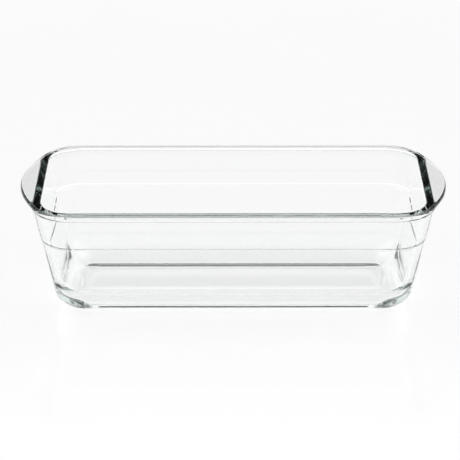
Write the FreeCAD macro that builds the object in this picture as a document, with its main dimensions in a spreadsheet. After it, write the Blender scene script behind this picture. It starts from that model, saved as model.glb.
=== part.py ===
import FreeCAD, Part
import math
import os

import Sketcher

# A clear glass loaf dish, pressed as one piece: a tapered basin with a small step round its wall,
# a flat rim that overhangs the wall, and a rim that widens into a bow-shaped grip at each end.
# Millimetres, +Z up, X along the dish, Y across it. The origin is the centre of the base it stands on.

DIMENSIONS = [
    ("overall_length", 300.0, "tip to tip over both grips"),
    ("dish_height", 84.2, "base to top of rim"),
    ("rim_width", 122.4, "across the long sides of the rim"),
    ("rim_thickness", 4.0, "depth of the rim's edge and of the grips"),
    ("rim_corner_radius", 31.0, "plan radius of the rim's corners"),
    ("rim_corner_spacing", 220.0, "between the centres of the corner arcs, along X"),
    ("grip_radius", 80.0, "plan radius of the bow at each end"),
    ("rim_edge_radius", 1.8, "rounding of the rim's outer edges"),
    ("mouth_edge_radius", 0.8, "rounding where the rim turns into the basin"),
    ("step_length", 268.0, "outside length just under the step"),
    ("step_width", 110.2, "outside width just under the step"),
    ("step_corner_radius", 24.0, "outside plan radius just under the step"),
    ("corner_tightening", 0.5, "share of the wall's lean that the plan radius of the corners gives up"),
    ("base_corner_tightening", 0.8, "the same for the rounding between wall and base"),
    ("floor_corner_tightening", 0.45, "the same for the rounding between wall and floor"),
    ("outside_step_height", 55.6, "base to the middle of the step outside"),
    ("outside_step_out", 0.6, "how far the outside moves out at its step"),
    ("outside_step_rise", 0.8, "height over which it moves out"),
    ("outside_draft", 9.7, "lean of the outside from upright, in degrees"),
    ("basin_step_height", 55.6, "base to the middle of the step inside"),
    ("basin_step_out", 0.6, "how far the inside moves out at its step"),
    ("basin_step_rise", 0.8, "height over which it moves out"),
    ("basin_draft", 9.2, "lean of the inside from upright, in degrees"),
    ("base_edge_radius", 16.4, "outside rounding between wall and base"),
    ("wall_thickness", 6.0, "measured level, just under the step"),
    ("floor_thickness", 4.4, "base to the basin's floor"),
    ("floor_edge_radius", 24.4, "inside rounding between wall and floor"),
]

ARC_STEPS = 6


def wall_face(prefix, floor_level, edge_prefix, inset):
    """One face of the wall as expressions; its own dimensions start with the prefix in lower case."""
    own = f"dims.{prefix.lower()}"
    return {
        "prefix": prefix,
        "floor": floor_level,
        "edge": f"dims.{edge_prefix}_edge_radius",
        "tightening": f"dims.{edge_prefix}_corner_tightening",
        "inset": inset,
        "foot": f"({own}_step_height - {own}_step_rise / 2)",
        "top": f"({own}_step_height + {own}_step_rise / 2)",
        "out": f"{own}_step_out",
        "lean": f"({own}_draft * 1 deg)",
    }


OUTSIDE = wall_face("Outside", "0", "base", "0")
BASIN = wall_face("Basin", "dims.floor_thickness", "floor", "dims.wall_thickness")


def make_sheet(doc):
    """Put the driving dimensions in a sheet: alias, value, and what it measures."""
    sheet = doc.addObject("Spreadsheet::Sheet", "dims")
    for row, (alias, value, meaning) in enumerate(DIMENSIONS, start=1):
        sheet.set(f"A{row}", meaning)
        sheet.set(f"B{row}", str(value))
        sheet.setAlias(f"B{row}", alias)
    doc.recompute()
    return sheet


def add_sketch(body, name, level):
    """A sketch on the body's own XY plane, lifted to a level given as an expression."""
    sketch = body.newObject("Sketcher::SketchObject", name)
    plane = next(p for p in body.Origin.OriginFeatures if p.Role == "XY_Plane")
    sketch.AttachmentSupport = (plane, [""])
    sketch.MapMode = "FlatFace"
    sketch.setExpression("AttachmentOffset.Base.z", level)
    return sketch


def bind(sketch, name, constraint, expression):
    """Add a dimension, name it and drive it from the sheet."""
    index = sketch.addConstraint(constraint)
    sketch.renameConstraint(index, name)
    sketch.setExpression(f"Constraints.{name}", expression)


def arc(x, y, radius, start, end):
    """An arc given by its centre, its radius and its start and end angles in degrees."""
    circle = Part.Circle(FreeCAD.Vector(x, y, 0), FreeCAD.Vector(0, 0, 1), radius)
    return Part.ArcOfCircle(circle, math.radians(start), math.radians(end))


def draw_loop(sketch, arcs):
    """Add the arcs, join each to the next with a straight line and make every joint tangent.

    The arcs run anticlockwise. Returns the ids of the arcs and of the lines that follow them.
    """
    arc_ids = [sketch.addGeometry(item, False) for item in arcs]
    line_ids = []
    for item, following in zip(arcs, arcs[1:] + arcs[:1]):
        line = Part.LineSegment(item.EndPoint, following.StartPoint)
        line_ids.append(sketch.addGeometry(line, False))
    for place, line_id in enumerate(line_ids):
        next_arc = arc_ids[(place + 1) % len(arc_ids)]
        sketch.addConstraint(Sketcher.Constraint("Tangent", arc_ids[place], 2, line_id, 1))
        sketch.addConstraint(Sketcher.Constraint("Tangent", line_id, 2, next_arc, 1))
    return arc_ids, line_ids


def rounded_rectangle(body, name, level, length, width, radius):
    """A sketch of a rounded rectangle about the origin, every size an expression."""
    sketch = add_sketch(body, name, level)
    half_x, half_y, r = 110.0, 30.0, 15.0
    corners = [(half_x, half_y, 0), (-half_x, half_y, 90), (-half_x, -half_y, 180), (half_x, -half_y, 270)]
    arcs = [arc(x, y, r, start, start + 90) for x, y, start in corners]
    arc_ids, line_ids = draw_loop(sketch, arcs)
    top, left, bottom, right = line_ids
    for line_id in (top, bottom):
        sketch.addConstraint(Sketcher.Constraint("Horizontal", line_id))
    for line_id in (left, right):
        sketch.addConstraint(Sketcher.Constraint("Vertical", line_id))
    for other in arc_ids[1:]:
        sketch.addConstraint(Sketcher.Constraint("Equal", arc_ids[0], other))
    sketch.addConstraint(Sketcher.Constraint("Symmetric", arc_ids[0], 3, arc_ids[2], 3, -1, 1))
    bind(sketch, "Radius", Sketcher.Constraint("Radius", arc_ids[0], r), radius)
    across = Sketcher.Constraint("DistanceY", bottom, 1, top, 1, 2 * (half_y + r))
    bind(sketch, "Width", across, width)
    along = Sketcher.Constraint("DistanceX", left, 1, right, 1, 2 * (half_x + r))
    bind(sketch, "Length", along, length)
    return sketch


def rim_outline(body, name, level, sheet):
    """The rim's outline: two long sides, four corners, and a bow at each end tangent to short flats."""
    sketch = add_sketch(body, name, level)
    corner_r = sheet.rim_corner_radius
    bow_r = sheet.grip_radius
    corner_x = sheet.rim_corner_spacing / 2
    corner_y = sheet.rim_width / 2 - corner_r
    bow_x = sheet.overall_length / 2 - bow_r
    # The flat between corner and bow is tangent to both, which fixes the direction of its normal.
    apart = math.hypot(corner_x - bow_x, corner_y)
    heading = math.atan2(corner_y, corner_x - bow_x)
    flat = math.degrees(heading - math.acos((bow_r - corner_r) / apart))
    arcs = [
        arc(bow_x, 0, bow_r, -flat, flat),
        arc(corner_x, corner_y, corner_r, flat, 90),
        arc(-corner_x, corner_y, corner_r, 90, 180 - flat),
        arc(-bow_x, 0, bow_r, 180 - flat, 180 + flat),
        arc(-corner_x, -corner_y, corner_r, 180 + flat, 270),
        arc(corner_x, -corner_y, corner_r, 270, 360 - flat),
    ]
    arc_ids, line_ids = draw_loop(sketch, arcs)
    bow, corner, corner_left, bow_left, corner_low_left, corner_low = arc_ids
    for other in (corner_left, corner_low_left, corner_low):
        sketch.addConstraint(Sketcher.Constraint("Equal", corner, other))
    sketch.addConstraint(Sketcher.Constraint("Equal", bow, bow_left))
    sketch.addConstraint(Sketcher.Constraint("Symmetric", corner, 3, corner_left, 3, -2))
    sketch.addConstraint(Sketcher.Constraint("Symmetric", corner_low, 3, corner_low_left, 3, -2))
    sketch.addConstraint(Sketcher.Constraint("Symmetric", corner, 3, corner_low, 3, -1))
    sketch.addConstraint(Sketcher.Constraint("Symmetric", bow, 3, bow_left, 3, -1, 1))
    sketch.addConstraint(Sketcher.Constraint("PointOnObject", bow, 3, -1))
    bind(sketch, "CornerRadius", Sketcher.Constraint("Radius", corner, corner_r), "dims.rim_corner_radius")
    bind(sketch, "GripRadius", Sketcher.Constraint("Radius", bow, bow_r), "dims.grip_radius")
    spacing = Sketcher.Constraint("DistanceX", corner_left, 3, corner, 3, 2 * corner_x)
    bind(sketch, "CornerSpacing", spacing, "dims.rim_corner_spacing")
    across = Sketcher.Constraint("DistanceY", corner_low, 3, corner, 3, 2 * corner_y)
    bind(sketch, "CornerRise", across, "dims.rim_width - 2 * dims.rim_corner_radius")
    bows = Sketcher.Constraint("DistanceX", bow_left, 3, bow, 3, 2 * bow_x)
    bind(sketch, "GripSpacing", bows, "dims.overall_length - 2 * dims.grip_radius")
    return sketch


def loft(body, kind, name, outlines, ruled):
    """A loft through the outlines in turn; kind is AdditiveLoft or SubtractiveLoft."""
    feature = body.newObject(f"PartDesign::{kind}", name)
    feature.Profile = (outlines[0], [""])
    feature.Sections = [(outline, [""]) for outline in outlines[1:]]
    feature.Ruled = ruled
    return feature


def flat_edges(shape, level, fits=lambda box: True):
    """Names of the edges that lie wholly at one level and whose box passes the test."""
    names = []
    for number, edge in enumerate(shape.Edges, start=1):
        box = edge.BoundBox
        if abs(box.ZMin - level) < 0.01 and abs(box.ZMax - level) < 0.01 and fits(box):
            names.append(f"Edge{number}")
    return names


def fillet(body, name, base, edges, radius):
    """Round the named edges of the last feature."""
    feature = body.newObject("PartDesign::Fillet", name)
    feature.Base = (base, edges)
    feature.setExpression("Radius", radius)
    return feature


def wall_outline(body, face, name, level, lean, rounding="0"):
    """The outline of one face of the wall at a level.

    lean is how far the wall has moved out since just under its step, and rounding is how far the
    rounded edge has moved in from there.
    """
    inset = f"{face['inset']} + {rounding}"
    length = f"dims.step_length + 2 * ({lean}) - 2 * ({inset})"
    width = f"dims.step_width + 2 * ({lean}) - 2 * ({inset})"
    tightened = f"dims.corner_tightening * ({lean}) - {face['tightening']} * ({rounding})"
    radius = f"dims.step_corner_radius + {tightened} - {face['inset']}"
    return rounded_rectangle(body, face["prefix"] + name, level, length, width, radius)


def edge_outlines(body, face):
    """Outlines up the rounded edge between a level floor and the leaning wall, evenly turned."""
    floor, edge, slope = face["floor"], face["edge"], face["lean"]
    outlines = []
    for step in range(ARC_STEPS + 1):
        turn = f"({step} / {ARC_STEPS} * (90 * 1 deg - {slope}))"
        rise = f"{edge} * (1 - cos{turn})"
        lean = f"tan{slope} * ({floor} + {rise} - {face['foot']})"
        rounding = f"({edge} * (1 / cos{slope} - tan{slope} * cos{turn} - sin{turn}))"
        outlines.append(wall_outline(body, face, f"Edge{step}", f"{floor} + {rise}", lean, rounding))
    return outlines


def face_of_wall(body, kind, face):
    """Stack the lofts that bound one face of the wall, top first: upper wall, step, lower wall, edge."""
    edge = edge_outlines(body, face)
    foot = wall_outline(body, face, "StepFoot", face["foot"], "0")
    step_top = wall_outline(body, face, "StepTop", face["top"], face["out"])
    rise = f"{face['out']} + (dims.dish_height - {face['top']}) * tan{face['lean']}"
    top = wall_outline(body, face, "Top", "dims.dish_height", rise)
    prefix = face["prefix"]
    loft(body, kind, prefix + "Upper", [step_top, top], True)
    loft(body, kind, prefix + "Step", [foot, step_top], True)
    loft(body, kind, prefix + "Lower", [edge[-1], foot], True)
    return loft(body, kind, prefix + "Rounding", edge, False)


def make_dish(doc, sheet):
    """The whole dish: the rim with its rounded edge, the outside below it, then the basin cut out."""
    body = doc.addObject("PartDesign::Body", "dish")
    body.Label = "dish"
    height = sheet.dish_height

    rim = body.newObject("PartDesign::Pad", "Rim")
    rim.Profile = rim_outline(body, "RimOutline", "dims.dish_height", sheet)
    rim.Reversed = True
    rim.setExpression("Length", "dims.rim_thickness")
    doc.recompute()
    rim_edges = flat_edges(rim.Shape, height) + flat_edges(rim.Shape, height - sheet.rim_thickness)
    fillet(body, "RimEdge", rim, rim_edges, "dims.rim_edge_radius")
    doc.recompute()

    face_of_wall(body, "AdditiveLoft", OUTSIDE)
    basin = face_of_wall(body, "SubtractiveLoft", BASIN)
    doc.recompute()
    mouth_width = sheet.rim_width - 2 * (sheet.rim_edge_radius + sheet.wall_thickness / 2)
    mouth = flat_edges(basin.Shape, height, lambda box: max(abs(box.YMin), abs(box.YMax)) < mouth_width / 2)
    fillet(body, "MouthEdge", basin, mouth, "dims.mouth_edge_radius")
    doc.recompute()
    return body


def check(doc):
    """Stop if any object failed or if the finished piece isn't one valid solid."""
    for item in doc.Objects:
        if "Invalid" in item.State or "Error" in item.State:
            raise RuntimeError(f"{item.Name} failed: {item.State}")
        if hasattr(item, "Shape") and item.TypeId != "App::Origin" and item.isDerivedFrom("PartDesign::Feature"):
            if item.Shape.isNull() or not item.Shape.isValid():
                raise RuntimeError(f"{item.Name} has a bad shape")


def main():
    doc = FreeCAD.newDocument("loaf_dish")
    sheet = make_sheet(doc)
    pieces = [make_dish(doc, sheet)]
    doc.recompute()
    check(doc)
    os.makedirs("parts", exist_ok=True)
    for piece in pieces:
        shape = piece.Shape
        shape.exportStep(f"parts/{piece.Label}.step")
        box = shape.BoundBox
        print(piece.Label, len(shape.Solids), "solid", round(shape.Volume / 1000, 1), "cm3",
              [round(v, 2) for v in (box.XMin, box.YMin, box.ZMin, box.XMax, box.YMax, box.ZMax)])


main()
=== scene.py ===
"""A clear glass loaf dish, pressed in one piece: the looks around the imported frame.

Metres, +Z up, X along the dish. The dish is one closed glass mesh made of level rings that run up
the outside, over the rim and down into the basin.
"""

import math

import bmesh
import bpy
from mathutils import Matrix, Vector


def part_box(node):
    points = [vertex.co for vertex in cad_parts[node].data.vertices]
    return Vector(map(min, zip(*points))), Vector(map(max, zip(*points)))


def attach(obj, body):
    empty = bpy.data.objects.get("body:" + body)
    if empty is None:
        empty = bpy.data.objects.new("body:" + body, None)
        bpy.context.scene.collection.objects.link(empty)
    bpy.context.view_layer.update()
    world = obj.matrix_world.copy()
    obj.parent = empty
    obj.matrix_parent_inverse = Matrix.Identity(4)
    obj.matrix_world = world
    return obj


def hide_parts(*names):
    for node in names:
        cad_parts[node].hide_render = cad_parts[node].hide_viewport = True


MM = 0.001

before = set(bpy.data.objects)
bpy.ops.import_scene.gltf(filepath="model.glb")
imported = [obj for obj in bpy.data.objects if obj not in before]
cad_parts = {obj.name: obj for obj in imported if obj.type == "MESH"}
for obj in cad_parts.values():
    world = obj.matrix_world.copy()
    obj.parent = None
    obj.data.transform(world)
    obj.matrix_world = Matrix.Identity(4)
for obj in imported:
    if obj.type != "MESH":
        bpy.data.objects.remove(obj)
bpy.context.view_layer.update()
dish_low, dish_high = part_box("dish")

# The dish's sizes. The overall ones come from the frame, the rest repeat the design.
HALF_LENGTH = (dish_high.x - dish_low.x) / 2
HALF_WIDTH = (dish_high.y - dish_low.y) / 2
HEIGHT = dish_high.z - dish_low.z
RIM_THICKNESS = 4.0 * MM
RIM_CORNER_RADIUS = 31 * MM
RIM_CORNER_X = 110 * MM
GRIP_RADIUS = 80 * MM
RIM_EDGE_RADIUS = 1.8 * MM
MOUTH_RADIUS = 0.8 * MM
UNDER_RIM_RADIUS = 0.6 * MM
# How far the rim's faces are followed from each corner; a corner's rounding takes about 0.85 of its radius.
MOUTH_RUN = MOUTH_RADIUS * 1.3
UNDER_RIM_RUN = UNDER_RIM_RADIUS * 1.15
STEP_HALF_LENGTH = 134.0 * MM
STEP_HALF_WIDTH = 55.1 * MM
STEP_CORNER_RADIUS = 24 * MM
CORNER_TIGHTENING = 0.5
STEP_ROUNDING = 1.0 * MM

GLASS_IOR = 1.5
GLASS_ABSORPTION = (0.1, 0.28, 0.22, 1)
GLASS_DENSITY = 4
WAVE_HEIGHT = 0.03 * MM
RIPPLE_HEIGHT = 0.003 * MM

FLOOR_RADIUS = 12
FLOOR_GAP = 0.2 * MM
FLOOR_GLOW = 0.78
BOX_BRIGHTNESS = 1.6

CAMERA_ELEVATION = math.radians(26.42)
CAMERA_AZIMUTH = math.radians(-0.11)
CAMERA_DISTANCE = 1.3926
CAMERA_TARGET = Vector((-0.00234, 0, 0.0443))
CAMERA_LENS = 152.3


class Face:
    """One face of the wall: its floor, the rounding above it, and its step.

    Sizes in millimetres, the draft in degrees. The inset is how far inside the outside face it runs.
    """

    def __init__(self, floor, edge_radius, edge_tightening, inset, step_foot, step_top, step_out, draft):
        self.floor = floor * MM
        self.edge_radius = edge_radius * MM
        self.edge_tightening = edge_tightening
        self.inset = inset * MM
        self.step_foot = step_foot * MM
        self.step_top = step_top * MM
        self.step_out = step_out * MM
        self.draft = math.radians(draft)

    def growth(self, z):
        """How far the face has moved out at a height, before its corners are rounded."""
        if z <= self.step_foot:
            return -(self.step_foot - z) * math.tan(self.draft)
        return self.step_out + (z - self.step_top) * math.tan(self.draft)

    def edge_arc(self, spans=18):
        """The rounding between the floor and the leaning wall, from the floor up."""
        foot, radius, lean = self.growth(self.floor), self.edge_radius, self.draft
        centre = foot + radius * math.tan(lean) - radius / math.cos(lean)
        turns = [(math.pi / 2 - lean) * i / spans for i in range(spans + 1)]
        return [(centre + radius * math.sin(a), self.floor + radius * (1 - math.cos(a))) for a in turns]

    def rings(self, last_turn):
        """(ring, height) pairs up the face."""
        return [(wall_ring(growth, self.growth(z), self), z) for growth, z in self.path(last_turn)]

    def path(self, last_turn):
        """Growth and height up the face, ending with the given corner and the run after it."""
        arc = self.edge_arc()
        corners = [(arc[-1][0], arc[-1][1], 0), (0, self.step_foot, STEP_ROUNDING),
                   (self.step_out, self.step_top, STEP_ROUNDING)]
        return arc + rounded_path(corners + last_turn)[1:]


OUTSIDE = Face(
    floor=0, edge_radius=16.4, edge_tightening=0.8, inset=0,
    step_foot=55.2, step_top=56.0, step_out=0.6, draft=9.7,
)
BASIN = Face(
    floor=4.4, edge_radius=24.4, edge_tightening=0.45, inset=6.0,
    step_foot=55.2, step_top=56.0, step_out=0.6, draft=9.2,
)

# How many spans each stretch of a ring has, in one quarter of it.
SIDE_SPANS = 26
CORNER_SPANS = 22
FLAT_SPANS = 3
END_SPANS = 17

# How many spans the section has across the rim's underside, round half of its edge and over its top.
UNDERSIDE_SPANS = 4
HALF_EDGE_SPANS = 8
TOP_SPANS = 5


# ---------------------------------------------------------------- outlines

def arc_points(cx, cy, radius, start, end, spans):
    """Points along an arc, angles in radians, both ends included."""
    turns = [start + (end - start) * i / spans for i in range(spans + 1)]
    return [(cx + radius * math.cos(a), cy + radius * math.sin(a)) for a in turns]


def line_points(a, b, spans):
    """Points along a straight line, both ends included."""
    return [(a[0] + (b[0] - a[0]) * i / spans, a[1] + (b[1] - a[1]) * i / spans) for i in range(spans + 1)]


def whole_ring(quarter):
    """A closed ring from its first quarter, which runs from the +Y side round to the +X end."""
    lower = [(x, -y) for x, y in reversed(quarter)]
    right = quarter + lower[1:]
    left = [(-x, y) for x, y in reversed(right)]
    return right + left[1:-1]


def wall_ring(growth, lean, face):
    """A face's outline: growth is how far it has moved out since the step's foot, lean the wall's share."""
    half_x = STEP_HALF_LENGTH + growth - face.inset
    half_y = STEP_HALF_WIDTH + growth - face.inset
    rounding = face.edge_tightening * (growth - lean)
    radius = STEP_CORNER_RADIUS + CORNER_TIGHTENING * lean + rounding - face.inset
    side = line_points((0, half_y), (half_x - radius, half_y), SIDE_SPANS)
    corner = arc_points(half_x - radius, half_y - radius, radius, math.pi / 2, 0, CORNER_SPANS)
    end = line_points((half_x, half_y - radius), (half_x, 0), END_SPANS)
    return whole_ring(side + corner[1:] + end[1:])


def rim_ring(inset):
    """The rim's outline: long sides, corners, and a bow at each end tangent to short flats."""
    corner_y = HALF_WIDTH - RIM_CORNER_RADIUS
    bow_x = HALF_LENGTH - GRIP_RADIUS
    apart = math.hypot(RIM_CORNER_X - bow_x, corner_y)
    heading = math.atan2(corner_y, RIM_CORNER_X - bow_x)
    flat = heading - math.acos((GRIP_RADIUS - RIM_CORNER_RADIUS) / apart)
    side = line_points((0, HALF_WIDTH - inset), (RIM_CORNER_X, HALF_WIDTH - inset), SIDE_SPANS)
    corner = arc_points(RIM_CORNER_X, corner_y, RIM_CORNER_RADIUS - inset, math.pi / 2, flat, CORNER_SPANS)
    bow = arc_points(bow_x, 0, GRIP_RADIUS - inset, flat, 0, END_SPANS - FLAT_SPANS)
    slope = line_points(corner[-1], bow[0], FLAT_SPANS)
    return whole_ring(side + corner[1:] + slope[1:] + bow[1:])


def between(ring_a, ring_b, share):
    """A ring part of the way from one ring to another."""
    return [
        (a[0] + (b[0] - a[0]) * share, a[1] + (b[1] - a[1]) * share)
        for a, b in zip(ring_a, ring_b)
    ]


# ---------------------------------------------------------------- the section

def rounded_path(points, spans_per_turn=7, longest=4 * MM):
    """A path through points (growth, height, rounding), its corners turned into arcs."""
    path = []
    for i, (gx, gz, rounding) in enumerate(points):
        here = Vector((gx, gz))
        if rounding == 0 or i in (0, len(points) - 1):
            path.append(here)
            continue
        back = (Vector(points[i - 1][:2]) - here).normalized()
        on = (Vector(points[i + 1][:2]) - here).normalized()
        half = back.angle(on) / 2
        reach = rounding / math.tan(half)
        centre = here + (back + on).normalized() * rounding / math.sin(half)
        start = here + back * reach - centre
        end = here + on * reach - centre
        turn = start.angle_signed(end)
        for step in range(spans_per_turn + 1):
            a = -turn * step / spans_per_turn
            spun = Vector((
                start.x * math.cos(a) - start.y * math.sin(a),
                start.x * math.sin(a) + start.y * math.cos(a),
            ))
            path.append(centre + spun)
    filled = [path[0]]
    for point in path[1:]:
        gap = (point - filled[-1]).length
        spans = max(1, math.ceil(gap / longest))
        start = filled[-1]
        filled += [start.lerp(point, i / spans) for i in range(1, spans + 1)]
    return [(p.x, p.y) for p in filled]


def outside_rings():
    """(ring, height) pairs from the base's flat up to where the wall meets the rim's underside."""
    foot = HEIGHT - RIM_THICKNESS
    out = OUTSIDE.growth(foot)
    return OUTSIDE.rings([(out, foot, UNDER_RIM_RADIUS), (out + UNDER_RIM_RUN, foot, 0)])


def rim_rings(under, mouth):
    """(ring, height) pairs round the rim, from its underside over its edge to the mouth."""
    rim_foot = HEIGHT - RIM_THICKNESS
    r = RIM_EDGE_RADIUS
    edge = rim_ring(r)
    turns = [math.pi / 2 * i / HALF_EDGE_SPANS for i in range(HALF_EDGE_SPANS + 1)]
    rings = [(between(under, edge, i / UNDERSIDE_SPANS), rim_foot) for i in range(1, UNDERSIDE_SPANS)]
    rings += [(rim_ring(r - r * math.sin(a)), rim_foot + r - r * math.cos(a)) for a in turns]
    rings += [(rim_ring(r - r * math.cos(a)), HEIGHT - r + r * math.sin(a)) for a in turns]
    rings += [(between(edge, mouth, i / TOP_SPANS), HEIGHT) for i in range(1, TOP_SPANS)]
    return rings


def inside_rings():
    """(ring, height) pairs from the mouth down the inside to the floor's flat."""
    out = BASIN.growth(HEIGHT)
    return BASIN.rings([(out, HEIGHT, MOUTH_RADIUS), (out + MOUTH_RUN, HEIGHT, 0)])[::-1]


# ---------------------------------------------------------------- the mesh

def cap_grid(mesh, ring_verts, flip):
    """Fill a ring with a grid of quads, its corners at the middle of the ring's corner arcs."""
    n = len(ring_verts)
    along = SIDE_SPANS + CORNER_SPANS // 2
    across = n // 4 - along
    first = n - along

    def at(i):
        return ring_verts[(first + i) % n]

    columns, rows = 2 * along, 2 * across
    grid = [[None] * (rows + 1) for _ in range(columns + 1)]
    for i in range(columns + 1):
        grid[i][0] = at(i)
        grid[i][rows] = at(2 * columns + rows - i)
    for j in range(rows + 1):
        grid[columns][j] = at(columns + j)
        grid[0][j] = at(n - j)
    corner = [grid[0][0].co, grid[columns][0].co, grid[0][rows].co, grid[columns][rows].co]
    for i in range(1, columns):
        u = i / columns
        for j in range(1, rows):
            v = j / rows
            sides = grid[i][0].co * (1 - v) + grid[i][rows].co * v
            ends = grid[0][j].co * (1 - u) + grid[columns][j].co * u
            low = corner[0] * (1 - u) + corner[1] * u
            high = corner[2] * (1 - u) + corner[3] * u
            grid[i][j] = mesh.verts.new(sides + ends - (low * (1 - v) + high * v))
    for i in range(columns):
        for j in range(rows):
            quad = [grid[i][j], grid[i + 1][j], grid[i + 1][j + 1], grid[i][j + 1]]
            mesh.faces.new(quad if flip else quad[::-1])


def make_dish():
    """The whole dish as one closed mesh."""
    outside = outside_rings()
    inside = inside_rings()
    rings = outside + rim_rings(outside[-1][0], inside[0][0]) + inside
    mesh = bmesh.new()
    levels = [[mesh.verts.new((x, y, z)) for x, y in ring] for ring, z in rings]
    n = len(levels[0])
    for lower, upper in zip(levels, levels[1:]):
        for i in range(n):
            j = (i + 1) % n
            mesh.faces.new((lower[i], upper[i], upper[j], lower[j]))
    cap_grid(mesh, levels[0], True)
    cap_grid(mesh, levels[-1], False)
    bmesh.ops.recalc_face_normals(mesh, faces=mesh.faces)
    data = bpy.data.meshes.new("glass_dish")
    mesh.to_mesh(data)
    mesh.free()
    data.polygons.foreach_set("use_smooth", [True] * len(data.polygons))
    dish = bpy.data.objects.new("glass_dish", data)
    bpy.context.scene.collection.objects.link(dish)
    return dish


# ---------------------------------------------------------------- materials

def noise(tree, scale, detail):
    """A noise texture in the object's own coordinates, its scale in features per metre."""
    where = tree.nodes.new("ShaderNodeTexCoord")
    texture = tree.nodes.new("ShaderNodeTexNoise")
    texture.inputs["Scale"].default_value = scale
    texture.inputs["Detail"].default_value = detail
    tree.links.new(where.outputs["Object"], texture.inputs["Vector"])
    return texture.outputs["Fac"]


def spread(tree, value, low, high):
    """Stretch the middle of a noise, from 0.3 to 0.7, over a range of values."""
    node = tree.nodes.new("ShaderNodeMapRange")
    node.inputs["From Min"].default_value = 0.3
    node.inputs["From Max"].default_value = 0.7
    node.inputs["To Min"].default_value = low
    node.inputs["To Max"].default_value = high
    tree.links.new(value, node.inputs["Value"])
    return node.outputs[0]


def bump(tree, height, distance, normal=None):
    """A bump of the given height, laid over another one if there is one."""
    node = tree.nodes.new("ShaderNodeBump")
    node.inputs["Strength"].default_value = 1
    node.inputs["Distance"].default_value = distance
    tree.links.new(height, node.inputs["Height"])
    if normal:
        tree.links.new(normal, node.inputs["Normal"])
    return node.outputs[0]


def glass_material():
    """Clear fire-polished glass, faintly green along long paths and faintly wavy from the press."""
    material = bpy.data.materials.new("clear_glass")
    material.use_nodes = True
    tree = material.node_tree
    nodes = tree.nodes
    links = tree.links
    shader = nodes["Principled BSDF"]
    shader.inputs["Base Color"].default_value = (1, 1, 1, 1)
    shader.inputs["Metallic"].default_value = 0
    shader.inputs["IOR"].default_value = GLASS_IOR
    shader.inputs["Transmission Weight"].default_value = 1
    polish = spread(tree, noise(tree, scale=30, detail=3), low=0.0, high=0.012)
    links.new(polish, shader.inputs["Roughness"])
    waves = bump(tree, noise(tree, scale=22, detail=1), WAVE_HEIGHT)
    ripples = bump(tree, noise(tree, scale=90, detail=2), RIPPLE_HEIGHT, waves)
    links.new(ripples, shader.inputs["Normal"])
    volume = nodes.new("ShaderNodeVolumeAbsorption")
    volume.inputs["Color"].default_value = GLASS_ABSORPTION
    volume.inputs["Density"].default_value = GLASS_DENSITY
    links.new(volume.outputs[0], nodes["Material Output"].inputs["Volume"])
    return material


def floor_material():
    """Backlit white acrylic: it glows evenly and has a soft shine."""
    material = bpy.data.materials.new("lit_floor")
    material.use_nodes = True
    tree = material.node_tree
    shader = tree.nodes["Principled BSDF"]
    shader.inputs["Base Color"].default_value = (0.25, 0.25, 0.25, 1)
    shader.inputs["Specular IOR Level"].default_value = 0.3
    shader.inputs["Emission Color"].default_value = (1, 1, 1, 1)
    shader.inputs["Emission Strength"].default_value = FLOOR_GLOW
    polish = spread(tree, noise(tree, scale=12, detail=4), low=0.08, high=0.13)
    tree.links.new(polish, shader.inputs["Roughness"])
    return material


# ---------------------------------------------------------------- the set

def make_floor():
    """A wide round floor, just under the dish so that the two faces don't share a plane."""
    data = bpy.data.meshes.new("floor")
    mesh = bmesh.new()
    bmesh.ops.create_circle(mesh, cap_ends=True, segments=96, radius=FLOOR_RADIUS)
    mesh.to_mesh(data)
    mesh.free()
    floor = bpy.data.objects.new("floor", data)
    floor.location.z = -FLOOR_GAP
    bpy.context.scene.collection.objects.link(floor)
    floor.data.materials.append(floor_material())


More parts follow.
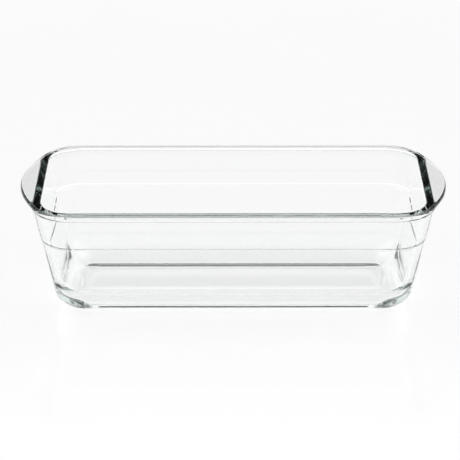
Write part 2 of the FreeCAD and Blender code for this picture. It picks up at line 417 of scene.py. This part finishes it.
def make_world():
    """A light tent over the dish, dark towards the camera and low at the sides.

    From behind the dish to behind the camera it is bright, then a dark band, bright again, then dark.
    """
    world = bpy.data.worlds.new("studio")
    bpy.context.scene.world = world
    world.use_nodes = True
    nodes = world.node_tree.nodes
    links = world.node_tree.links
    background = nodes["Background"]
    where = nodes.new("ShaderNodeTexCoord")
    parts = nodes.new("ShaderNodeSeparateXYZ")
    links.new(where.outputs["Generated"], parts.inputs[0])

    def math_node(operation, *values):
        """A math node on numbers and sockets."""
        node = nodes.new("ShaderNodeMath")
        node.operation = operation
        for socket, value in zip(node.inputs, values):
            if isinstance(value, (int, float)):
                socket.default_value = value
            else:
                links.new(value, socket)
        return node.outputs[0]

    def ramp(factor, stops):
        """A grey ramp through (place, value) stops."""
        node = nodes.new("ShaderNodeValToRGB")
        elements = node.color_ramp.elements
        elements[0].position, elements[1].position = stops[0][0], stops[-1][0]
        for place, _ in stops[1:-1]:
            elements.new(place)
        for element, (place, value) in zip(elements, stops):
            element.position = place
            element.color = (value, value, value, 1)
        links.new(factor, node.inputs[0])
        return node.outputs[0]

    # Half a turn over the dish, from the horizon behind it to the horizon behind the camera.
    turn = math_node("DIVIDE", math_node("ARCTAN2", parts.outputs["Z"], parts.outputs["Y"]), math.pi)
    across = math_node("ABSOLUTE", parts.outputs["X"])
    overhead = ramp(turn, [
        (0.0, 0.9), (0.06, 0.9), (0.11, 0.05), (0.165, 0.05),
        (0.185, 0.9), (0.5, 0.85), (0.6, 0.1), (1.0, 0.05),
    ])
    sides = ramp(across, [(0.0, 1.0), (0.5, 1.0), (0.7, 0.02), (1.0, 0.02)])
    # A black flag hangs over the dish between two bright boxes.
    flag_along = ramp(turn, [(0.0, 0.0), (0.29, 0.0), (0.31, 1.0), (0.6, 1.0), (0.62, 0.0), (1.0, 0.0)])
    flag_across = ramp(across, [(0.0, 1.0), (0.16, 1.0), (0.2, 0.0), (1.0, 0.0)])
    flag = math_node("SUBTRACT", 1.0, math_node("MULTIPLY", flag_along, flag_across))
    tent = math_node("MULTIPLY", math_node("MULTIPLY", overhead, sides), flag)
    boxes_along = ramp(turn, [(0.0, 0.0), (0.27, 0.0), (0.31, 1.0), (0.66, 1.0), (0.7, 0.0), (1.0, 0.0)])
    boxes_across = ramp(across, [(0.0, 0.0), (0.18, 0.0), (0.22, 1.0), (0.9, 1.0), (0.97, 0.0), (1.0, 0.0)])
    boxes = math_node("MULTIPLY", math_node("MULTIPLY", boxes_along, boxes_across), BOX_BRIGHTNESS)
    tent = math_node("MAXIMUM", tent, boxes)
    # Seen directly, the tent is an even white backdrop.
    seen = nodes.new("ShaderNodeLightPath").outputs["Is Camera Ray"]
    links.new(math_node("MAXIMUM", tent, seen), background.inputs["Color"])


def make_camera():
    """A long lens, all but square on to the long side, looking down."""
    back = Vector((
        math.sin(CAMERA_AZIMUTH) * math.cos(CAMERA_ELEVATION),
        -math.cos(CAMERA_AZIMUTH) * math.cos(CAMERA_ELEVATION),
        math.sin(CAMERA_ELEVATION),
    ))
    data = bpy.data.cameras.new("camera")
    data.sensor_width = 36
    data.lens = CAMERA_LENS
    camera = bpy.data.objects.new("camera", data)
    camera.location = CAMERA_TARGET + back * CAMERA_DISTANCE
    camera.rotation_euler = (-back).to_track_quat("-Z", "Y").to_euler()
    bpy.context.scene.collection.objects.link(camera)
    bpy.context.scene.camera = camera


make_camera()
dish = make_dish()
dish.data.materials.append(glass_material())
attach(dish, "root")
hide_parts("dish")
make_floor()
make_world()

scene = bpy.context.scene
scene.view_settings.view_transform = "Standard"
scene.cycles.use_denoising = True
scene.cycles.max_bounces = 32
scene.cycles.transmission_bounces = 32
scene.cycles.glossy_bounces = 16
scene.cycles.transparent_max_bounces = 16
scene.cycles.caustics_reflective = True
scene.cycles.caustics_refractive = True
scene.cycles.blur_glossy = 0
